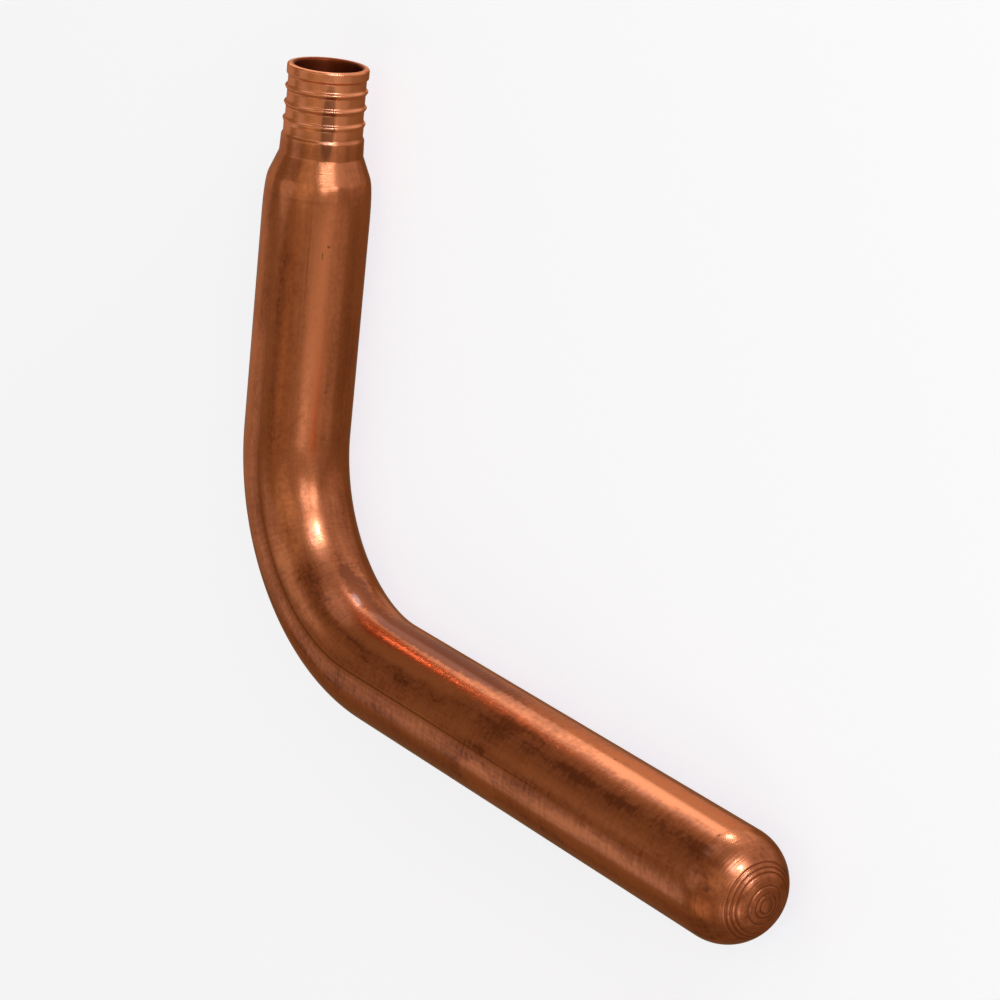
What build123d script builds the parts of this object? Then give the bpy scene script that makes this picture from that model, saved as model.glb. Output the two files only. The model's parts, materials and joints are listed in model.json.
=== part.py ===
from build123d import *
import os
from math import hypot, radians, sqrt, tan

# Copper stub out elbow: one length of hard copper water tube, swaged down to a ribbed barb at one end,
# bent through a right angle, and spun shut at the other end.
# It lies on its side. The origin is the middle of the barb's mouth, +Y points out of the mouth,
# +X points out of the closed tip, and +Z is up. Lengths are in millimetres and angles in degrees.

# Tube: half inch water tube, which is five eighths of an inch across
tube_od = 15.875
tube_wall = 0.711

# Route: each leg is measured on its own axis, from its end to the corner where the two axes cross
riser_length = 83.7
stub_length = 113.5
bend_radius = 28.4
bend_angle = 90

# Barb: heights are radial and rise from the lands, and places are measured from the mouth
land_od = 11.4
barb_wall = 0.75
mouth_rounding = 0.35
collar_length = 1.5
collar_height = 0.28
collar_back = 0.2
rib_count = 3
first_rib = 3.35
rib_pitch = 2.36
rib_height = 0.335
rib_crest = 0.16
rib_front = 0.3
rib_back = 0.5
last_land_height = 0.12
neck_height = 0.36
neck_end_height = 0.45
neck_step = 0.4
neck_length = 2.5
neck_rounding = 3.0

# Swage: the cone from the neck to the tube, and the shoulder that rounds it into the tube
cone_angle = 22
shoulder_drop = 0.52
shoulder_length = 6.5

# Closed tip: a spun dome, with shallow rings left by the spinning tool
dome_depth = 7.74
tip_wall = 1.2
spin_ring_radii = (1.0, 1.7, 2.7, 4.2, 4.75, 5.3)
spin_ring_depth = 0.08
spin_ring_width = 0.38

# Radii and places that follow from the sizes above
tube_r = tube_od / 2
tube_bore_r = tube_r - tube_wall
land_r = land_od / 2
barb_bore_r = land_r - barb_wall
neck_r = land_r + neck_height
neck_end_r = land_r + neck_end_height
neck_start = first_rib + rib_count * rib_pitch
neck_end = neck_start + neck_length
riser_straight_end = riser_length - bend_radius
stub_straight_end = stub_length - dome_depth


def on_riser(radius, from_mouth):
    """A point of the riser's section: its distance from the axis, and how far it lies below the mouth."""
    return (radius, -from_mouth)


def swage_line(neck_radius, tube_radius):
    """One wall of the swage, from the neck down to where the riser meets the bend."""
    slope = tan(radians(cone_angle))
    drop = min(shoulder_drop, (tube_radius - neck_radius) / 2)
    shoulder_start = neck_end + (tube_radius - drop - neck_radius) / slope
    cone_top = on_riser(tube_radius - drop, shoulder_start)
    tangent_corner = on_riser(tube_radius, shoulder_start + drop / slope)
    tube_start = on_riser(tube_radius, shoulder_start + shoulder_length)
    return [
        Line(on_riser(neck_radius, neck_end), cone_top),
        Bezier(cone_top, tangent_corner, tube_start),
        Line(tube_start, on_riser(tube_radius, riser_straight_end)),
    ]


def rib_points(crest_middle, land_behind):
    """One rib of the barb: a steep flank towards the mouth, a narrow crest and a gentler flank behind it."""
    crest_start = crest_middle - rib_crest / 2
    crest_end = crest_middle + rib_crest / 2
    return [
        on_riser(land_r, crest_start - rib_front),
        on_riser(land_r + rib_height, crest_start),
        on_riser(land_r + rib_height, crest_end),
        on_riser(land_behind, crest_end + rib_back),
    ]


def barb_points():
    """The outside of the barb from its mouth to the end of its neck; the land before the neck is the highest."""
    last_land_r = land_r + last_land_height
    points = [
        on_riser(land_r + collar_height, 0),
        on_riser(land_r + collar_height, collar_length),
        on_riser(land_r, collar_length + collar_back),
    ]
    for rib in range(rib_count):
        is_last = rib == rib_count - 1
        points += rib_points(first_rib + rib * rib_pitch, last_land_r if is_last else land_r)
    points += [
        on_riser(last_land_r, neck_start - neck_step),
        on_riser(neck_r, neck_start),
        on_riser(neck_end_r, neck_end),
    ]
    return points


def riser():
    """The straight leg with its swaged barb, turned from one section."""
    mouth_outside = barb_points()[0]
    mouth_inside = on_riser(barb_bore_r, 0)
    section = make_face(
        [Polyline(*barb_points())]
        + swage_line(neck_end_r, tube_r)
        + [Line(on_riser(tube_r, riser_straight_end), on_riser(tube_bore_r, riser_straight_end))]
        + swage_line(barb_bore_r, tube_bore_r)
        + [Line(on_riser(barb_bore_r, neck_end), mouth_inside), Line(mouth_inside, mouth_outside)]
    )
    lip = collar_height + barb_wall
    mouth_corners = corners_at(section, [mouth_outside, mouth_inside])
    section = fillet(mouth_corners, min(mouth_rounding, 0.45 * lip))
    section = fillet(corners_at(section, [on_riser(neck_end_r, neck_end)]), neck_rounding)
    return revolve(section, Axis.Y)


def corners_at(section, places):
    """The section's corners at these places."""
    return [
        corner
        for corner in section.vertices()
        for x, y in places
        if hypot(corner.X - x, corner.Y - y) < 1e-6
    ]


def bend():
    """The quarter turn between the two legs, at the tube's full section."""
    ring = Plane.XZ.offset(riser_straight_end) * (Circle(tube_r) - Circle(tube_bore_r))
    return revolve(ring, Axis((bend_radius, -riser_straight_end, 0), (0, 0, 1)), bend_angle)


def spin_rings():
    """The cross sections of the tool's rings, each a small circle that dips into the dome's outline."""
    tool_radius = (spin_ring_width**2 / 4 + spin_ring_depth**2) / (2 * spin_ring_depth)
    rings = []
    for radius in spin_ring_radii:
        along = dome_depth * sqrt(1 - (radius / tube_r) ** 2)
        normal = Vector(along / dome_depth**2, radius / tube_r**2).normalized()
        centre = Vector(stub_straight_end + along, radius) + normal * (tool_radius - spin_ring_depth)
        rings.append(Pos(centre.X, centre.Y) * Circle(tool_radius))
    return rings


def stub():
    """The straight leg that comes out of the wall, turned from one section with its closed dome."""
    dome_centre = (stub_straight_end, 0)
    inner_depth = dome_depth - tip_wall
    section = make_face(
        [
            Line((bend_radius, tube_r), (stub_straight_end, tube_r)),
            EllipticalCenterArc(dome_centre, dome_depth, tube_r, 0, arc_size=90),
            Line((stub_length, 0), (stub_length - tip_wall, 0)),
            EllipticalCenterArc(dome_centre, inner_depth, tube_bore_r, 0, arc_size=90),
            Line((stub_straight_end, tube_bore_r), (bend_radius, tube_bore_r)),
            Line((bend_radius, tube_bore_r), (bend_radius, tube_r)),
        ]
    )
    section -= spin_rings()
    return Pos(0, -riser_length, 0) * revolve(section, Axis.X)


stub_out_elbow = riser() + bend() + stub()
stub_out_elbow.label = "stub_out_elbow"

os.makedirs("parts", exist_ok=True)
export_step(stub_out_elbow, "parts/stub_out_elbow.step")
print("volume", round(stub_out_elbow.volume, 1), "mm3, solids", len(stub_out_elbow.solids()))
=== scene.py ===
import json
from math import acos, atan2, cos, hypot, pi, radians, sin, tan

import bmesh
import bpy
from mathutils import Matrix, Vector


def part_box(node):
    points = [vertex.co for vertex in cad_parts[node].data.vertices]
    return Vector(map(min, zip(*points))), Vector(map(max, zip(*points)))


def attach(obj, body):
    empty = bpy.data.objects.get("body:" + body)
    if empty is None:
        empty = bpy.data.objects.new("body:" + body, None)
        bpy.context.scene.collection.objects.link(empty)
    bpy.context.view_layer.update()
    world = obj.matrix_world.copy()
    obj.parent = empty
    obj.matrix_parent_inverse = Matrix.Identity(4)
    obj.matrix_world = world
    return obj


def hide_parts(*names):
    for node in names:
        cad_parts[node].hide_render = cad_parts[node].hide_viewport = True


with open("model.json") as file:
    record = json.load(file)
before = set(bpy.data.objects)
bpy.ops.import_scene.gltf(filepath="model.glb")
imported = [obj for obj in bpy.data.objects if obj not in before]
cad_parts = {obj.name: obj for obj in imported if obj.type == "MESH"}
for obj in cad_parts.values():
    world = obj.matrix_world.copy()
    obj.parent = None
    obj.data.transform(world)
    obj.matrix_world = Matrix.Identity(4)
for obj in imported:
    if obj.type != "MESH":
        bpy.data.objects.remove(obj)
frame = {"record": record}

bl_info = {
    "name": "Copper stub out elbow",
    "version": (1, 0, 0),
    "blender": (4, 5, 0),
    "location": "3D View > Sidebar > Stub Out",
    "description": "Dresses the packed stub out elbow in drawn and spun copper and lights it",
    "category": "Object",
}

NODE = "stub_out_elbow"
MM = 0.001
SAME_PLACE = 0.0005 * MM
OUTER_MATERIAL, BORE_MATERIAL = 0, 1

# How finely the shell is stepped: first the shaped end with the barb and the shoulder, then the plain walls
SHAPED_END = 25 * MM
OUTSIDE_STEPS = (0.09 * MM, 1.5 * MM)
INSIDE_STEPS = (0.5 * MM, 8 * MM)
CORNER_ROUNDING = 0.22 * MM
ROUNDING_SAMPLES = 9
LIP_STEPS = 6
SHOULDER_STEPS = 12
BEND_STEPS = 72
OUTSIDE_DOME_STEPS = 140
INSIDE_DOME_STEPS = 12


def packed_mount(name):
    """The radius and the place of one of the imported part's mounts, in metres."""
    mount = next(m for m in frame["record"]["mounts"] if m["name"] == name)
    return mount["dims"]["r_mm"] * MM, Vector(mount["pos_m"])


TUBE_RADIUS, STUB_PLACE = packed_mount("stub")
RIB_RADIUS = packed_mount("barb")[0]
STUB_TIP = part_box(NODE)[1][0]


def length(name, description, default):
    """A length that the sidebar shows, in metres."""
    return bpy.props.FloatProperty(
        name=name, description=description, default=default, unit="LENGTH", precision=6
    )


def shade(name, description, hex_code):
    """A colour that the sidebar shows, given as sRGB hex."""
    return bpy.props.FloatVectorProperty(
        name=name,
        description=description,
        subtype="COLOR",
        size=3,
        min=0.0,
        max=1.0,
        default=linear(hex_code),
    )


def linear(hex_code):
    """The linear colour of an sRGB hex value."""
    channels = [int(hex_code[i : i + 2], 16) / 255 for i in (1, 3, 5)]
    return tuple(c / 12.92 if c <= 0.04045 else ((c + 0.055) / 1.055) ** 2.4 for c in channels)


class StubOutTubeSettings(bpy.types.PropertyGroup):
    """Sizes of the formed tube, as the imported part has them."""

    bend_radius: length("Bend radius", "Radius of the bend at the tube's axis", 28.4 * MM)
    wall: length("Tube wall", "Wall of the plain tube", 0.711 * MM)
    barb_bore: length("Barb bore radius", "Inside radius of the barb", 4.95 * MM)
    mouth_rounding: length("Mouth rounding", "Radius of the lip's two edges", 0.35 * MM)
    collar_radius: length("Collar radius", "Radius of the collar at the mouth", 5.98 * MM)
    collar_end: length("Collar end", "Mouth to the end of the collar", 1.5 * MM)
    collar_back: length("Collar back", "Length of the step behind the collar", 0.2 * MM)
    land_radius: length("Land radius", "Radius of the lands between the ribs", 5.7 * MM)
    last_land_radius: length("Last land radius", "Radius of the land before the neck", 5.82 * MM)
    rib_count: bpy.props.IntProperty(name="Ribs", description="Number of ribs on the barb", default=3, min=1)
    first_rib: length("First rib", "Mouth to the middle of the first rib", 3.35 * MM)
    rib_pitch: length("Rib pitch", "From one rib to the next", 2.36 * MM)
    rib_crest: length("Rib crest", "Width of a rib's crest", 0.16 * MM)
    rib_front: length("Rib front", "Length of a rib's steep flank", 0.3 * MM)
    rib_back: length("Rib back", "Length of a rib's gentle flank", 0.5 * MM)
    neck_radius: length("Neck radius", "Radius at the start of the neck", 6.06 * MM)
    neck_end_radius: length("Neck end radius", "Radius at the end of the neck", 6.15 * MM)
    neck_step: length("Neck step", "Length of the step up to the neck", 0.4 * MM)
    neck_length: length("Neck length", "Length of the neck", 2.5 * MM)
    cone_angle: bpy.props.FloatProperty(
        name="Cone angle", description="Half angle of the cone", default=radians(22), subtype="ANGLE"
    )
    shoulder_drop: length("Shoulder drop", "Radial depth of the rounded shoulder", 0.52 * MM)
    shoulder_length: length("Shoulder length", "Length of the rounded shoulder", 6.5 * MM)
    dome_depth: length("Dome depth", "Length of the spun dome", 7.74 * MM)
    tip_wall: length("Tip wall", "Wall at the closed tip", 1.2 * MM)
    spin_ring_depth: length("Spin ring depth", "Depth of the rings in the dome", 0.08 * MM)
    spin_ring_width: length("Spin ring width", "Width of the rings in the dome", 0.38 * MM)
    around: bpy.props.IntProperty(
        name="Faces around", description="Faces round the tube", default=128, min=16
    )


class StubOutCopperSettings(bpy.types.PropertyGroup):
    """Colours of the copper."""

    # The drawn colour also shows as painted highlights and reflection bands where patches take the tarnish
    # away; tarnish and stain also paint shade and dark reflections.
    drawn: shade("Drawn copper", "Copper as it left the drawing die", "#D6855D")
    fresh: shade("Worked copper", "Copper that the swaging dies have rubbed clean", "#F8A47C")
    tarnish: shade("Tarnish", "Thin brown oxide on the drawn copper", "#8F4A2A")
    edge: shade("Edge", "Copper seen at a slant", "#E8B08C")
    stain: shade("Stain", "Dark oxide in the scratches and the bore", "#4A2412")
    bore: shade("Bore", "Red oxide inside the tube", "#A04A2C")


# The rings' distances from the stub's axis
SPIN_RINGS_MM = (1.0, 1.7, 2.7, 4.2, 4.75, 5.3)


class RoutePlan:
    """Where the tube runs: from the mouth down the riser along -Y, round the bend, along the stub to +X."""

    def __init__(self, tube):
        self.bend_radius = tube.bend_radius
        self.riser_end = -STUB_PLACE.y - tube.bend_radius
        self.stub_end = STUB_TIP - tube.dome_depth
        self.arc = tube.bend_radius * pi / 2
        self.bend_centre = Vector((tube.bend_radius, -self.riser_end, 0))
        self.stub_axis_y = STUB_PLACE.y

    def on_axis(self, point):
        """The nearest point on the tube's axis, which ends where the dome starts."""
        if point.y > -self.riser_end:
            return Vector((0, point.y, 0))
        if point.x > self.bend_radius:
            return Vector((min(point.x, self.stub_end), self.stub_axis_y, 0))
        reach = Vector((point.x, point.y, 0)) - self.bend_centre
        return self.bend_centre + reach.normalized() * self.bend_radius

    def place_on_tube(self, point):
        """The point on the tube laid straight: towards the bend's centre, up, and along from the mouth."""
        if point.y > -self.riser_end:
            return Vector((point.x, point.z, -point.y))
        if point.x > self.bend_radius:
            along = self.riser_end + self.arc + point.x - self.bend_radius
            return Vector((point.y - self.stub_axis_y, point.z, along))
        reach = point - self.bend_centre
        turn = atan2(-reach.y, -reach.x)
        distance = hypot(reach.x, reach.y)
        return Vector((self.bend_radius - distance, point.z, self.riser_end + turn * self.bend_radius))


def broken_line(points, place):
    """The height of a line through these points at this place."""
    for (start, low), (end, high) in zip(points, points[1:]):
        if place <= end:
            return low + (high - low) * (place - start) / (end - start)
    return points[-1][1]


def swage_points(tube, neck_radius, tube_radius):
    """One wall of the cone and its shoulder: places from the mouth and radii."""
    neck_end = tube.first_rib + tube.rib_count * tube.rib_pitch + tube.neck_length
    slope = tan(tube.cone_angle)
    top_radius = tube_radius - tube.shoulder_drop
    top = neck_end + (top_radius - neck_radius) / slope
    corner = top + tube.shoulder_drop / slope
    end = top + tube.shoulder_length
    points = [(neck_end, neck_radius)]
    for step in range(SHOULDER_STEPS + 1):
        t = step / SHOULDER_STEPS
        place = (1 - t) ** 2 * top + 2 * t * (1 - t) * corner + t**2 * end
        points.append((place, tube_radius - (1 - t) ** 2 * tube.shoulder_drop))
    return points


def riser_outside(tube):
    """The outside of the riser as places from the mouth and radii."""
    points = [(0, tube.collar_radius), (tube.collar_end, tube.collar_radius)]
    points.append((tube.collar_end + tube.collar_back, tube.land_radius))
    for rib in range(tube.rib_count):
        middle = tube.first_rib + rib * tube.rib_pitch
        behind = tube.last_land_radius if rib == tube.rib_count - 1 else tube.land_radius
        points += [
            (middle - tube.rib_crest / 2 - tube.rib_front, tube.land_radius),
            (middle - tube.rib_crest / 2, RIB_RADIUS),
            (middle + tube.rib_crest / 2, RIB_RADIUS),
            (middle + tube.rib_crest / 2 + tube.rib_back, behind),
        ]
    neck_start = tube.first_rib + tube.rib_count * tube.rib_pitch
    points += [(neck_start - tube.neck_step, tube.last_land_radius), (neck_start, tube.neck_radius)]
    return points + swage_points(tube, tube.neck_end_radius, TUBE_RADIUS)


def rounded(points, place, rounding):
    """The broken line's height with its corners rounded off, as the mean over a short window."""
    offsets = [(i / (ROUNDING_SAMPLES - 1) - 0.5) * rounding for i in range(ROUNDING_SAMPLES)]
    return sum(broken_line(points, max(place + offset, 0)) for offset in offsets) / ROUNDING_SAMPLES


def even_steps(start, end, spacing):
    """Places from start to end, start left out, about this far apart."""
    count = max(1, round((end - start) / spacing))
    return [start + (end - start) * (i + 1) / count for i in range(count)]


def lip_edge(tube, edge_radius, side):
    """The lip's rounded edge, from its flat face to one of the walls."""
    rounding = tube.mouth_rounding
    for step in range(LIP_STEPS + 1):
        angle = pi / 2 * step / LIP_STEPS
        yield edge_radius - side * rounding * (1 - sin(angle)), -rounding * (1 - cos(angle))


def riser_wall(tube, plan, profile, spacings):
    """One wall of the riser below its lip: fine steps on the shaped end, wide ones on the plain tube."""
    fine, wide = spacings
    shaped = even_steps(tube.mouth_rounding, SHAPED_END, fine)
    plain = even_steps(SHAPED_END, plan.riser_end, wide)
    for place in shaped + plain:
        yield profile(place), -place


def riser_section(tube, plan):
    """The riser's whole section: up the inside from the bend, over the lip, and down the outside."""
    outside = riser_outside(tube)
    inside = [(0, tube.barb_bore)] + swage_points(tube, tube.barb_bore, TUBE_RADIUS - tube.wall)
    inner = list(lip_edge(tube, tube.barb_bore, -1))
    inner += riser_wall(tube, plan, lambda place: broken_line(inside, place), INSIDE_STEPS)
    outer = list(lip_edge(tube, tube.collar_radius, 1))
    outer += riser_wall(tube, plan, lambda place: rounded(outside, place, CORNER_ROUNDING), OUTSIDE_STEPS)
    return inner[::-1] + outer


def ring_relief(tube, radius):
    """How deep the spinning tool's rings are at this distance from the stub's axis."""
    depth = 0.0
    for ring in SPIN_RINGS_MM:
        away = abs(radius - ring * MM) / (tube.spin_ring_width / 2)
        if away < 1:
            depth += tube.spin_ring_depth * (0.5 + 0.5 * cos(pi * away))
    return depth


def dome_line(start, depth, base_radius, steps, relief):
    """A dome's section from its base to its pole, let in by the relief at each radius."""
    for step in range(1, steps):
        angle = pi / 2 * step / steps
        along, across = depth * sin(angle), base_radius * cos(angle)
        normal = Vector((along / depth**2, across / base_radius**2)).normalized()
        sunk = relief(across)
        yield start + along - normal.x * sunk, across - normal.y * sunk
    yield start + depth, 0.0


def stub_wall(plan, radius, spacings):
    """The plain part of the stub, from the bend to the start of its dome."""
    places = [plan.bend_radius] + even_steps(plan.bend_radius, plan.stub_end, spacings[1])
    return [(place, radius) for place in places]


def turned(points, centre, axis, faces_around):
    """A shell turned from one line of points about an axis, as on a lathe."""
    shell = bmesh.new()
    corner = bmesh.ops.create_vert(shell, co=points[0])["vert"][0]
    for point in points[1:]:
        corner = bmesh.ops.extrude_vert_indiv(shell, verts=[corner])["verts"][0]
        bmesh.ops.translate(shell, verts=[corner], vec=Vector(point) - corner.co)
    line = shell.verts[:] + shell.edges[:]
    bmesh.ops.spin(shell, geom=line, cent=centre, axis=axis, angle=2 * pi, steps=faces_around, use_merge=True)
    return shell


def add_shell(whole, shell):
    """Puts a shell into the whole mesh."""
    carrier = bpy.data.meshes.new("shell")
    shell.to_mesh(carrier)
    shell.free()
    whole.from_mesh(carrier)
    bpy.data.meshes.remove(carrier)


def stub_outside(tube, plan):
    """The stub's outer wall and its spun dome, as far as the pole."""
    dome = dome_line(
        plan.stub_end,
        tube.dome_depth,
        TUBE_RADIUS,
        OUTSIDE_DOME_STEPS,
        lambda radius: ring_relief(tube, radius),
    )
    return stub_wall(plan, TUBE_RADIUS, OUTSIDE_STEPS) + list(dome)


def stub_inside(tube, plan):
    """The stub's bore and the inside of its dome."""
    bore_radius, bore_depth = TUBE_RADIUS - tube.wall, tube.dome_depth - tube.tip_wall
    dome = dome_line(plan.stub_end, bore_depth, bore_radius, INSIDE_DOME_STEPS, lambda radius: 0.0)
    return stub_wall(plan, bore_radius, INSIDE_STEPS) + list(dome)


def form_bend(mesh, plan):
    """The bend: the riser's two open rings are spun a quarter turn about the bend's centre."""
    rings = [edge for edge in mesh.edges if edge.is_boundary]
    corners = [corner for corner in mesh.verts if corner.is_boundary]
    geom = corners + rings
    bmesh.ops.spin(mesh, geom=geom, cent=plan.bend_centre, axis=(0, 0, 1), angle=pi / 2, steps=BEND_STEPS)


def sort_faces(mesh):
    """Puts the faces in order of their place, because a spin leaves them in another order each run."""
    placed = sorted(mesh.faces, key=lambda face: tuple(face.calc_center_median()))
    for number, face in enumerate(placed):
        face.index = number
    mesh.faces.sort()


def tube_mesh(tube, plan):
    """The whole formed tube as one closed shell: the outside and the inside meet in the lip."""
    riser_points = [(radius, y, 0) for radius, y in riser_section(tube, plan)]
    mesh = turned(riser_points, (0, 0, 0), (0, 1, 0), tube.around)
    form_bend(mesh, plan)
    for section in (stub_outside(tube, plan), stub_inside(tube, plan)):
        stub_points = [(x, plan.stub_axis_y + radius, 0) for x, radius in section]
        add_shell(mesh, turned(stub_points, (0, plan.stub_axis_y, 0), (1, 0, 0), tube.around))
    bmesh.ops.remove_doubles(mesh, verts=mesh.verts, dist=SAME_PLACE)
    bmesh.ops.recalc_face_normals(mesh, faces=mesh.faces)
    for face in mesh.faces:
        middle = face.calc_center_median()
        outward = middle - plan.on_axis(middle)
        face.material_index = BORE_MATERIAL if face.normal.dot(outward) < 0 else OUTER_MATERIAL
    sort_faces(mesh)
    return mesh


def paint_places(mesh, plan, tube):
    """Stores where each corner lies on the tube, how far from the tip, and how deep in one of the rings."""
    mesh.attributes.new("tube_place", "FLOAT_VECTOR", "POINT")
    mesh.attributes.new("from_tip", "FLOAT", "POINT")
    mesh.attributes.new("groove", "FLOAT", "POINT")
    place = mesh.attributes["tube_place"].data
    from_tip = mesh.attributes["from_tip"].data
    groove = mesh.attributes["groove"].data
    dome_line_length = pi / 2 * TUBE_RADIUS
    for vertex in mesh.vertices:
        place[vertex.index].vector = plan.place_on_tube(vertex.co) / MM
        past_plain = vertex.co.x - plan.stub_end
        swept = pi / 2 - acos(min(1.0, max(0.0, past_plain / tube.dome_depth)))
        distance = dome_line_length - (swept * TUBE_RADIUS if past_plain > 0 else past_plain)
        from_tip[vertex.index].value = distance / MM
        if past_plain > 0:
            radius = hypot(vertex.co.y - plan.stub_axis_y, vertex.co.z)
            groove[vertex.index].value = min(1.0, ring_relief(tube, radius) / tube.spin_ring_depth)


def node(tree, kind, settings=None, **links):
    """Adds a shader node with its settings, and links or fills its inputs: by name, or i0, i1 by number."""
    made = tree.nodes.new(kind)
    for name, value in (settings or {}).items():
        setattr(made, name, value)
    for name, value in links.items():
        by_number = name[0] == "i" and name[1:].isdigit()
        socket = made.inputs[int(name[1:]) if by_number else name.replace("_", " ")]
        if isinstance(value, bpy.types.NodeSocket):
            tree.links.new(value, socket)
        else:
            socket.default_value = value
    return made


def grain(tree, place, across, along, detail=2.0):
    """Noise whose grains are this many millimetres wide and long on the tube."""
    size = (1 / across, 1 / across, 1 / along)
    scaled = node(tree, "ShaderNodeVectorMath", {"operation": "MULTIPLY"}, i0=place, i1=size)
    noise = node(tree, "ShaderNodeTexNoise", Vector=scaled.outputs["Vector"], Scale=1.0, Detail=detail)
    return noise.outputs["Fac"]


def patch(tree, surface, along, angle, half_length, half_angle, softness, strength):
    """A soft-edged patch, at this place from the mouth in mm and this angle round the tube in degrees."""
    moved = node(tree, "ShaderNodeVectorMath", {"operation": "SUBTRACT"}, i0=surface, i1=(along, angle, 0))
    size = (half_length, half_angle, 1)
    reach = node(tree, "ShaderNodeVectorMath", {"operation": "DIVIDE"}, i0=moved.outputs[0], i1=size)
    away = node(tree, "ShaderNodeVectorMath", {"operation": "LENGTH"}, i0=reach.outputs[0])
    return node(
        tree,
        "ShaderNodeMapRange",
        {"interpolation_type": "SMOOTHSTEP"},
        Value=away.outputs["Value"],
        From_Min=1 - softness,
        From_Max=1.0,
        To_Min=strength,
        To_Max=0.0,
    ).outputs["Result"]


def patches(tree, surface, spots):
    """All these patches together."""
    total = patch(tree, surface, *spots[0])
    for spot in spots[1:]:
        made = patch(tree, surface, *spot)
        total = node(tree, "ShaderNodeMath", {"operation": "ADD"}, i0=total, i1=made).outputs[0]
    return total


# Each patch: mm from the mouth, degrees round the tube, half length in mm, half width in degrees, softness,
# strength. The degrees count from the side that faces the bend's centre, through the top, to 180 and -180 on
# the far side.
STAINS_AND_PAINTED_SHADE = (
    # The first two darken bands along the riser: painted dark reflection bands.
    (40, 60, 24, 17, 0.5, 0.22),
    (40, -12, 26, 22, 0.7, 0.12),
    (84, 40, 9, 8, 0.9, 0.25),
    # These two darken the end of the bend and the start of the stub on the side that faces the riser: painted
    # shade.
    (88, 2, 12, 16, 0.7, 0.35),
    (112, 2, 24, 20, 0.5, 0.45),
    (113, 62, 16, 12, 0.7, 0.12),
    (102.5, 57, 2.2, 4, 0.9, 0.3),
    (108, 54, 1.6, 4, 0.9, 0.2),
    (120.5, 54, 3.0, 4, 0.9, 0.35),
    (132.5, 54, 4.2, 27, 0.35, 0.22),
    (156, 47, 26, 9, 0.9, 0.36),
    (139, 34, 11, 9, 0.9, 0.35),
    (177, 45, 4, 15, 0.8, 0.3),
    (95, 95, 20, 14, 0.7, 0.2),
    (129, -150, 16, 30, 0.8, 0.35),
    (70, -110, 20, 22, 0.9, 0.25),
    (30, 148, 12, 25, 0.8, 0.25),
)
WEAR_AND_PAINTED_LIGHT = (
    # This one lightens the shoulder: a painted highlight. The next lightens a band along the riser: a painted
    # reflection band.
    (15, 25, 3, 30, 0.6, 0.2),
    (40, 26, 24, 12, 0.5, 0.2),
    (80, 65, 14, 10, 0.8, 0.3),
    (95, 60, 10, 14, 0.8, 0.35),
    (152, 68, 28, 10, 0.7, 0.25),
    # This one lightens the stub where it mirrors the riser's lit side: a painted reflection.
    (110, 36, 20, 15, 0.7, 0.6),
    (132.8, 106, 4.6, 20, 0.25, 0.3),
    (158, 100, 24, 22, 0.6, 0.35),
    # This one is partly wear by the scratches near the dome and partly a painted highlight for the sheen
    # there.
    (163, 6, 24, 22, 0.6, 0.5),
    (100, -95, 14, 16, 0.7, 0.3),
    (156, -160, 10, 22, 0.7, 0.3),
    (45, -80, 14, 18, 0.8, 0.25),
)
SCRATCHES_AND_PAINTED_SHADE = (
    # the barb's dark band, a painted dark reflection, and the stub's side that faces the riser, painted shade
    (7.5, 28, 7, 12, 0.4, 0.6),
    (117, -2, 28, 17, 0.9, 0.5),
    # four dark lines along the tube, where reflected bands meet: painted dark reflections
    (103, 78, 77, 1.3, 0.9, 0.7),
    (28, 39, 11, 1.2, 0.9, 0.35),
    (96, -72, 70, 1.1, 0.9, 0.35),
    (70, 160, 48, 1.2, 0.9, 0.35),
    # a faint dark ring where the shoulder ends: painted shade
    (18.7, 60, 0.35, 70, 0.5, 0.12),
    # short scratches
    (26.4, 24, 0.9, 1.0, 0.6, 0.6),
    (25.0, 18, 0.25, 2.6, 0.6, 0.6),
    (47.0, 7, 0.3, 1.4, 0.6, 0.6),
    (110.7, 24, 0.35, 2.2, 0.6, 0.6),
    (120.4, 112, 0.3, 1.6, 0.6, 0.6),
    (153.5, 7, 0.35, 1.6, 0.6, 0.6),
    (177.5, 22, 0.3, 3.0, 0.6, 0.6),
)

# What each pattern adds to the oxide's base, and between which sums bare copper turns to full tarnish
OXIDE_BASE = -1.3
MOTTLE_SHARE = 0.9
STREAK_SHARE = 0.9
SPECKLE_SHARE = 0.7
HANDLING_SHARE_RISER, HANDLING_SHARE_STUB = 0.1, 0.5
HANDLING_CHANGES_MM = (50.0, 80.0)
BARE_SUM, TARNISHED_SUM = -0.25, 0.6
DEEP_OXIDE_START = 0.65
DEEP_OXIDE_SHARE = 0.3

# The barb is rubbed clean as far as its last land, and the clean metal ends within the neck
CLEAN_SHARE = 0.85
CLEAN_ENDS_MM = (8.6, 11.6)

# The roughness of bare copper, and what full tarnish and the draw lines add to it; then the oil film's share
# and roughness, and the bore's roughness
BARE_ROUGHNESS = 0.17
TARNISH_ROUGHNESS = 0.16
STREAK_ROUGHNESS = 0.1
OIL_FILM = 0.5
OIL_FILM_ROUGHNESS = 0.14
BORE_ROUGHNESS = 0.5

# The grain of a patch's uneven edge, and how far the edge wavers: mm along and degrees round the tube
EDGE_GRAINS_PER_MM = 0.5
EDGE_WAVER = (2.5, 14, 0)

# Fine marks that a tool leaves round the dome and the barb: how many a millimetre, the noise's detail, the
# two distances from the tip or the mouth between which they fade, in mm, and the share that is left
SPUN_MARKS = (3.5, 3.0, 9.0, 15.0, 0.0)
TURNED_MARKS = (5.0, 2.0, 14.0, 24.0, 0.15)

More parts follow.
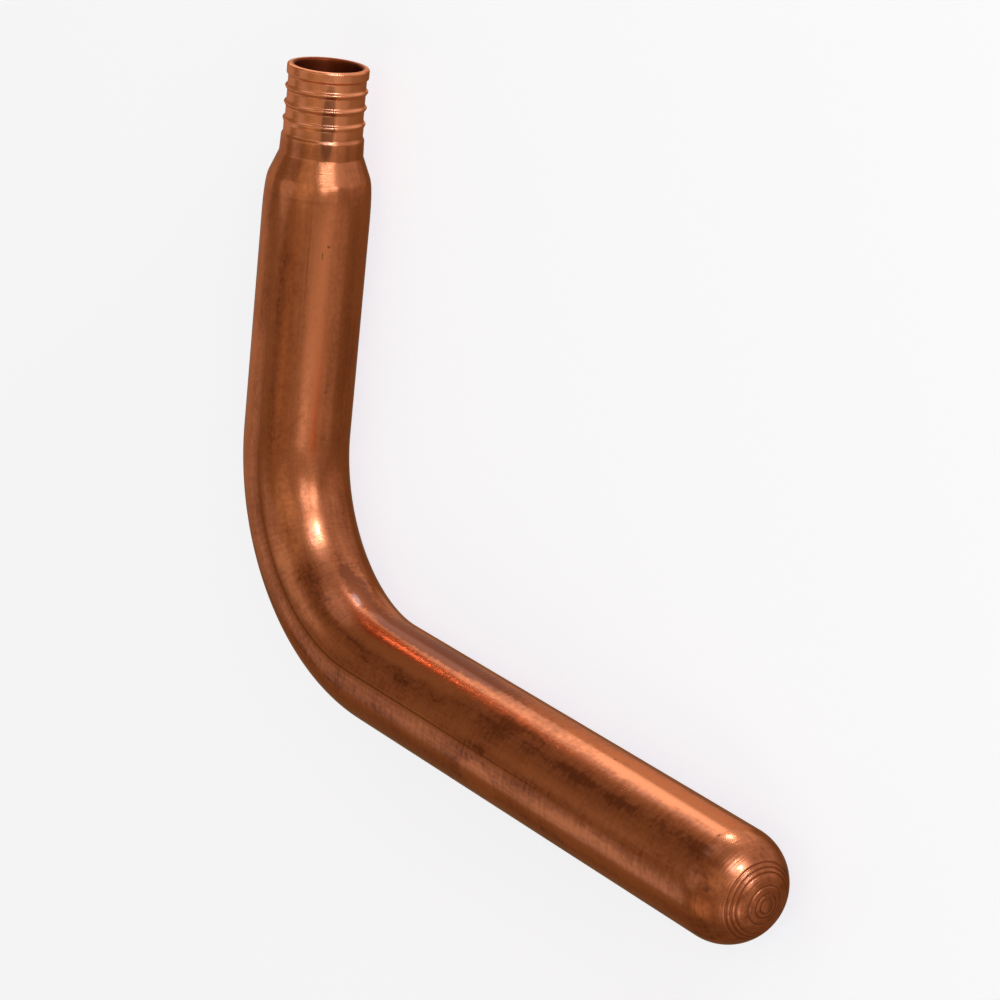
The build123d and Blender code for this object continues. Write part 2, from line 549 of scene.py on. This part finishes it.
WAVE_DEPTH_MM = 0.05
DRAW_LINE_DEPTH_MM = 0.002
SPECKLE_DEPTH_MM = 0.004
SCUFF_DEPTH_MM = 0.01
SPUN_MARK_DEPTH_MM = 0.025
TURNED_MARK_DEPTH_MM = 0.006


def copper_surface(tree):
    """Where a spot is: its place on the straightened tube, and its place along and angle round the tube."""
    place = node(tree, "ShaderNodeAttribute", {"attribute_name": "tube_place"}).outputs["Vector"]
    parts = node(tree, "ShaderNodeSeparateXYZ", Vector=place).outputs
    turn = node(tree, "ShaderNodeMath", {"operation": "ARCTAN2"}, i0=parts["Y"], i1=parts["X"])
    angle = node(tree, "ShaderNodeMath", {"operation": "DEGREES"}, i0=turn.outputs[0])
    surface = node(tree, "ShaderNodeCombineXYZ", X=parts["Z"], Y=angle.outputs[0])
    return place, surface.outputs[0], parts["Z"]


def wavering(tree, place, surface):
    """The same places with an uneven edge, for the patches of stain, wear and painted light."""
    scaled = node(tree, "ShaderNodeVectorMath", {"operation": "SCALE"}, i0=place, Scale=EDGE_GRAINS_PER_MM)
    noise = node(tree, "ShaderNodeTexNoise", Vector=scaled.outputs[0], Scale=1.0, Detail=4.0).outputs["Color"]
    centred = node(tree, "ShaderNodeVectorMath", {"operation": "SUBTRACT"}, i0=noise, i1=(0.5, 0.5, 0.5))
    centred = centred.outputs[0]
    shift = node(tree, "ShaderNodeVectorMath", {"operation": "MULTIPLY"}, i0=centred, i1=EDGE_WAVER)
    moved = node(tree, "ShaderNodeVectorMath", {"operation": "ADD"}, i0=surface, i1=shift.outputs[0])
    return moved.outputs[0]


def oxide_and_painted_light(tree, place, surface, along, speckle):
    """How far the brown oxide covers the copper, with the patches adding painted shade and taking it away for
    painted highlights and reflections: 0 on bare metal, 1 under full tarnish.
    """
    uneven = wavering(tree, place, surface)
    broad_streaks = grain(tree, place, across=1.6, along=70, detail=3.0)
    mottle = grain(tree, place, across=5.0, along=7.0, detail=5.0)
    handled = grain(tree, place, across=6.0, along=0.5, detail=3.0)
    handling_share = node(
        tree,
        "ShaderNodeMapRange",
        {"interpolation_type": "SMOOTHSTEP"},
        Value=along,
        From_Min=HANDLING_CHANGES_MM[0],
        From_Max=HANDLING_CHANGES_MM[1],
        To_Min=HANDLING_SHARE_RISER,
        To_Max=HANDLING_SHARE_STUB,
    ).outputs["Result"]
    total = OXIDE_BASE
    for pattern, share in (
        (mottle, MOTTLE_SHARE),
        (broad_streaks, STREAK_SHARE),
        (speckle, SPECKLE_SHARE),
        (handled, handling_share),
    ):
        added = node(tree, "ShaderNodeMath", {"operation": "MULTIPLY_ADD"}, i0=pattern, i1=share, i2=total)
        total = added.outputs[0]
    for change, spots in (("ADD", STAINS_AND_PAINTED_SHADE), ("SUBTRACT", WEAR_AND_PAINTED_LIGHT)):
        spotted = patches(tree, uneven, spots)
        total = node(tree, "ShaderNodeMath", {"operation": change}, i0=total, i1=spotted).outputs[0]
    return node(
        tree,
        "ShaderNodeMapRange",
        Value=total,
        From_Min=BARE_SUM,
        From_Max=TARNISHED_SUM,
        To_Min=0.0,
        To_Max=1.0,
    ).outputs["Result"]


def copper_colour(tree, copper, surface, along, oxide):
    """Drawn copper under its oxide and painted light: the barb rubbed clean, darker in the dome's rings by
    their depth, dark oxide in the scratches, and painted shade and dark reflections in the stain colour.
    """
    deep_oxide_and_painted_shade = node(
        tree,
        "ShaderNodeMapRange",
        {"interpolation_type": "SMOOTHSTEP"},
        Value=oxide,
        From_Min=DEEP_OXIDE_START,
        From_Max=1.0,
        To_Min=0.0,
        To_Max=DEEP_OXIDE_SHARE,
    ).outputs["Result"]
    rubbed_clean = node(
        tree,
        "ShaderNodeMapRange",
        {"interpolation_type": "SMOOTHSTEP"},
        Value=along,
        From_Min=CLEAN_ENDS_MM[0],
        From_Max=CLEAN_ENDS_MM[1],
        To_Min=CLEAN_SHARE,
        To_Max=0.0,
    ).outputs["Result"]
    groove = node(tree, "ShaderNodeAttribute", {"attribute_name": "groove"}).outputs["Fac"]
    colour = (*copper.drawn, 1)
    for share, tint in (
        # The oxide share also lays on painted shade, painted highlights and painted reflection bands.
        (oxide, copper.tarnish),
        (deep_oxide_and_painted_shade, copper.stain),
        (rubbed_clean, copper.fresh),
        (groove, copper.tarnish),
        # The dark marks lay the stain colour on the scratches, and on the painted shade and dark reflections.
        (patches(tree, surface, SCRATCHES_AND_PAINTED_SHADE), copper.stain),
    ):
        mixed = node(tree, "ShaderNodeMix", {"data_type": "RGBA"}, Factor=share, i6=colour, i7=(*tint, 1))
        colour = mixed.outputs[2]
    return colour


def surface_relief(tree, place, surface, along, fine_streaks, speckle):
    """Draw lines along the tube, tool marks on barb and dome, scuffs on the stub, waves in the bend."""
    waves = grain(tree, place, across=4.0, along=5.0, detail=1.0)
    in_bend = patch(
        tree, surface, along=80, angle=30, half_length=24, half_angle=120, softness=0.6, strength=1.0
    )
    scuffs = grain(tree, place, across=2.2, along=0.16)
    on_scuffs = patch(
        tree, surface, along=150, angle=12, half_length=42, half_angle=34, softness=0.7, strength=1.0
    )
    from_tip = node(tree, "ShaderNodeAttribute", {"attribute_name": "from_tip"}).outputs["Fac"]
    tool_marks = []
    for distance, marks in ((from_tip, SPUN_MARKS), (along, TURNED_MARKS)):
        per_mm, detail, fade_start, fade_end, share_left = marks
        rings = node(
            tree, "ShaderNodeTexNoise", {"noise_dimensions": "1D"}, W=distance, Scale=per_mm, Detail=detail
        )
        where = node(
            tree,
            "ShaderNodeMapRange",
            {"interpolation_type": "SMOOTHSTEP"},
            Value=distance,
            From_Min=fade_start,
            From_Max=fade_end,
            To_Min=1.0,
            To_Max=share_left,
        )
        tool_marks.append((rings.outputs["Fac"], where.outputs["Result"]))
    (spun_marks, on_dome), (turned_marks, on_barb) = tool_marks
    below = {}
    for height, where, depth_mm in (
        (waves, in_bend, WAVE_DEPTH_MM),
        (fine_streaks, None, DRAW_LINE_DEPTH_MM),
        (speckle, None, SPECKLE_DEPTH_MM),
        (scuffs, on_scuffs, SCUFF_DEPTH_MM),
        (spun_marks, on_dome, SPUN_MARK_DEPTH_MM),
        (turned_marks, on_barb, TURNED_MARK_DEPTH_MM),
    ):
        if where:
            height = node(tree, "ShaderNodeMath", {"operation": "MULTIPLY"}, i0=height, i1=where).outputs[0]
        bump = node(tree, "ShaderNodeBump", Strength=1.0, Distance=depth_mm * MM, Height=height, **below)
        below = {"Normal": bump.outputs["Normal"]}
    return bump.outputs["Normal"]


def drawn_copper(copper):
    """Hard drawn copper tube: satin metal from the die, with long fine streaks and an uneven brown oxide that
    also carries painted shade, highlights and reflection bands.

    The swaging dies have rubbed the barb clean, and the spinning tool has left fine rings on the dome. A
    film of drawing oil whitens the brightest reflections. The streaks are coarser than real ones, to show.
    """
    material = bpy.data.materials.new("drawn_copper")
    material.use_nodes = True
    tree = material.node_tree
    shader = tree.nodes["Principled BSDF"]
    place, surface, along = copper_surface(tree)
    fine_streaks = grain(tree, place, across=0.25, along=40)
    speckle = grain(tree, place, across=0.6, along=0.8, detail=3.0)
    # The oxide cover holds painted shade, highlights and reflection bands as well as the oxide.
    oxide = oxide_and_painted_light(tree, place, surface, along, speckle)
    rough = BARE_ROUGHNESS
    for pattern, added in ((oxide, TARNISH_ROUGHNESS), (fine_streaks, STREAK_ROUGHNESS)):
        rougher = node(tree, "ShaderNodeMath", {"operation": "MULTIPLY_ADD"}, i0=pattern, i1=added, i2=rough)
        rough = rougher.outputs[0]
    tree.links.new(copper_colour(tree, copper, surface, along, oxide), shader.inputs["Base Color"])
    tree.links.new(rough, shader.inputs["Roughness"])
    relief = surface_relief(tree, place, surface, along, fine_streaks, speckle)
    tree.links.new(relief, shader.inputs["Normal"])
    shader.inputs["Metallic"].default_value = 1.0
    shader.inputs["Specular Tint"].default_value = (*copper.edge, 1)
    shader.inputs["Coat Weight"].default_value = OIL_FILM
    shader.inputs["Coat Roughness"].default_value = OIL_FILM_ROUGHNESS
    return material


def oxidised_bore(copper):
    """The inside of the tube: the same copper under a dull red oxide, unrubbed since the furnace."""
    material = bpy.data.materials.new("oxidised_bore")
    material.use_nodes = True
    tree = material.node_tree
    shader = tree.nodes["Principled BSDF"]
    place = node(tree, "ShaderNodeAttribute", {"attribute_name": "tube_place"}).outputs["Vector"]
    patchy = grain(tree, place, across=1.5, along=6.0, detail=4.0)
    red, dark = (*copper.bore, 1), (*copper.stain, 1)
    tinted = node(tree, "ShaderNodeMix", {"data_type": "RGBA"}, Factor=patchy, i6=red, i7=dark)
    tree.links.new(tinted.outputs[2], shader.inputs["Base Color"])
    shader.inputs["Metallic"].default_value = 1.0
    shader.inputs["Roughness"].default_value = BORE_ROUGHNESS
    return material


def show_mesh(mesh, name, materials):
    """Turns a finished bmesh into a smooth-shaded object."""
    data = bpy.data.meshes.new(name)
    mesh.to_mesh(data)
    mesh.free()
    data.shade_smooth()
    for material in materials:
        data.materials.append(material)
    piece = bpy.data.objects.new(name, data)
    bpy.context.collection.objects.link(piece)
    return piece


class OBJECT_OT_formed_tube(bpy.types.Operator):
    """Make the formed copper tube"""

    bl_idname = "object.stub_out_formed_tube"
    bl_label = "Formed tube"

    def execute(self, context):
        tube = context.scene.stub_out_tube
        plan = RoutePlan(tube)
        mesh = tube_mesh(tube, plan)
        copper = context.scene.stub_out_copper
        piece = show_mesh(mesh, "formed_copper_tube", [drawn_copper(copper), oxidised_bore(copper)])
        paint_places(piece.data, plan, tube)
        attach(piece, "root")
        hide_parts(NODE)
        return {"FINISHED"}


CAMERA_PLACE = Vector((0.39272, 0.09473, 0.27078))
CAMERA_AIM = Vector((0.05031, -0.04987, 0.0))
CAMERA_ROLL = radians(-97.87)
CAMERA_LENS = 120.26
CAMERA_NEAREST = 0.01

FLOOR_REACH = 3.0
PAPER = "#B4B4B4"
PAPER_ROUGHNESS = 0.9
PAPER_GLOW = "#F2F7FF"
PAPER_GLOW_STRENGTH = 0.78

ROOM = "#FFDAA6"
ROOM_BRIGHTNESS = 0.25


def add_camera(scene):
    """A long lens that looks down on the elbow, rolled until the riser stands upright in the picture."""
    data = bpy.data.cameras.new("camera")
    data.lens = CAMERA_LENS
    data.clip_start = CAMERA_NEAREST
    camera = bpy.data.objects.new("camera", data)
    aim = (CAMERA_AIM - CAMERA_PLACE).to_track_quat("-Z", "Y").to_matrix().to_4x4()
    camera.matrix_world = Matrix.Translation(CAMERA_PLACE) @ aim @ Matrix.Rotation(CAMERA_ROLL, 4, "Z")
    scene.collection.objects.link(camera)
    scene.camera = camera


def add_floor(scene):
    """A plain pale floor under the tube, large enough to fill the view.

    The tube doesn't mirror it, and it lets through the lights that the tube's lower half mirrors.
    """
    mesh = bmesh.new()
    bmesh.ops.create_grid(mesh, x_segments=1, y_segments=1, size=FLOOR_REACH)
    bmesh.ops.translate(mesh, verts=mesh.verts, vec=(0, 0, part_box(NODE)[0][2]))
    material = bpy.data.materials.new("floor_paper")
    material.use_nodes = True
    shader = material.node_tree.nodes["Principled BSDF"]
    shader.inputs["Base Color"].default_value = (*linear(PAPER), 1)
    shader.inputs["Roughness"].default_value = PAPER_ROUGHNESS
    shader.inputs["Emission Color"].default_value = (*linear(PAPER_GLOW), 1)
    shader.inputs["Emission Strength"].default_value = PAPER_GLOW_STRENGTH
    floor = show_mesh(mesh, "floor", [material])
    floor.visible_glossy = False
    floor.visible_shadow = False


STUDIO_MIDDLE = Vector((0.035, -0.05, 0.0))
LIGHT_DISTANCE = 0.7
SOFT_LIGHTS = (
    # name; azimuth, elevation and half width in degrees; brightness as a mirror shows it; tint
    ("wide_front", 75, -25, 50, 0.2, "#FFFFFF"),
    ("upper_front", 10, 30, 40, 0.15, "#FFF3D8"),
    ("right", -25, -10, 30, 0.2, "#FFF0DE"),
    ("right_high", -35, 22, 14, 0.9, "#FFFAF6"),
    ("left", -175, 10, 25, 0.25, "#FFF9EF"),
    ("under_front", 60, -45, 45, 0.15, "#FFE5D2"),
    ("over_left", -75, 55, 18, 0.4, "#FFE2B0"),
    ("over_back", 160, 70, 18, 0.35, "#FFFBF0"),
    ("over_front", 40, 65, 22, 0.35, "#FFF1C4"),
    ("back", -145, 35, 14, 0.35, "#FFFFFF"),
    ("key", 45, 5, 3, 75, "#EAF4FF"),
    ("key_haze", 45, 8, 18, 0.6, "#E4F2FF"),
    ("key_high", 48, 18, 8, 6, "#EAF4FF"),
    ("front_low", 20, 0, 9, 2, "#FFFFFF"),
    ("front_high", 18, 20, 10, 1.8, "#FFFFFF"),
    ("side", 110, -15, 6, 10, "#EAF4FF"),
    ("side_high", 110, 22, 15, 0.6, "#FFF8F0"),
    ("wide_side", 110, -28, 30, 0.35, "#FFF4E8"),
    ("stub_edge", 143, -13, 17, 1.2, "#FFFBF6"),
    ("stub_back", 160, -42, 15, 0.5, "#FFE8D8"),
)


def add_light(scene, name, azimuth, elevation, half_width, brightness, tint):
    """A round soft light that faces the elbow's middle and fills this half width of its view.

    An even light of area A and brightness B gives off pi A B watts.
    """
    data = bpy.data.lights.new(name, "AREA")
    data.shape = "DISK"
    radius = LIGHT_DISTANCE * tan(radians(half_width))
    data.size = 2 * radius
    data.energy = brightness * pi * (pi * radius**2)
    data.color = linear(tint)
    light = bpy.data.objects.new(name, data)
    turn, rise = radians(azimuth), radians(elevation)
    towards = Vector((cos(rise) * cos(turn), cos(rise) * sin(turn), sin(rise)))
    place = Matrix.Translation(STUDIO_MIDDLE + towards * LIGHT_DISTANCE)
    light.matrix_world = place @ towards.to_track_quat("Z", "Y").to_matrix().to_4x4()
    light.visible_camera = False
    scene.collection.objects.link(light)


def add_surround(scene):
    """The dim warm room that the copper mirrors between the lights."""
    world = bpy.data.worlds.new("studio")
    world.use_nodes = True
    shine = world.node_tree.nodes["Background"]
    shine.inputs["Color"].default_value = (*linear(ROOM), 1)
    shine.inputs["Strength"].default_value = ROOM_BRIGHTNESS
    scene.world = world


class OBJECT_OT_studio(bpy.types.Operator):
    """Make the floor, the lights and the camera"""

    bl_idname = "object.stub_out_studio"
    bl_label = "Studio"

    def execute(self, context):
        scene = context.scene
        scene.view_settings.view_transform = "Standard"
        add_camera(scene)
        add_floor(scene)
        add_surround(scene)
        for light in SOFT_LIGHTS:
            add_light(scene, *light)
        return {"FINISHED"}


class VIEW3D_PT_stub_out(bpy.types.Panel):
    """The elbow's pieces in the sidebar"""

    bl_label = "Stub Out Elbow"
    bl_space_type = "VIEW_3D"
    bl_region_type = "UI"
    bl_category = "Stub Out"

    def draw(self, context):
        for operator in (OBJECT_OT_formed_tube, OBJECT_OT_studio):
            self.layout.operator(operator.bl_idname)
        for group in (context.scene.stub_out_tube, context.scene.stub_out_copper):
            box = self.layout.box()
            for name in group.__annotations__:
                box.prop(group, name)


CLASSES = (
    StubOutTubeSettings,
    StubOutCopperSettings,
    OBJECT_OT_formed_tube,
    OBJECT_OT_studio,
    VIEW3D_PT_stub_out,
)


def register():
    for cls in CLASSES:
        bpy.utils.register_class(cls)
    bpy.types.Scene.stub_out_tube = bpy.props.PointerProperty(type=StubOutTubeSettings)
    bpy.types.Scene.stub_out_copper = bpy.props.PointerProperty(type=StubOutCopperSettings)


def unregister():
    del bpy.types.Scene.stub_out_copper
    del bpy.types.Scene.stub_out_tube
    for cls in reversed(CLASSES):
        bpy.utils.unregister_class(cls)


def main():
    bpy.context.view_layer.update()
    register()
    bpy.ops.object.stub_out_formed_tube()
    bpy.ops.object.stub_out_studio()


if __name__ == "__main__":
    main()
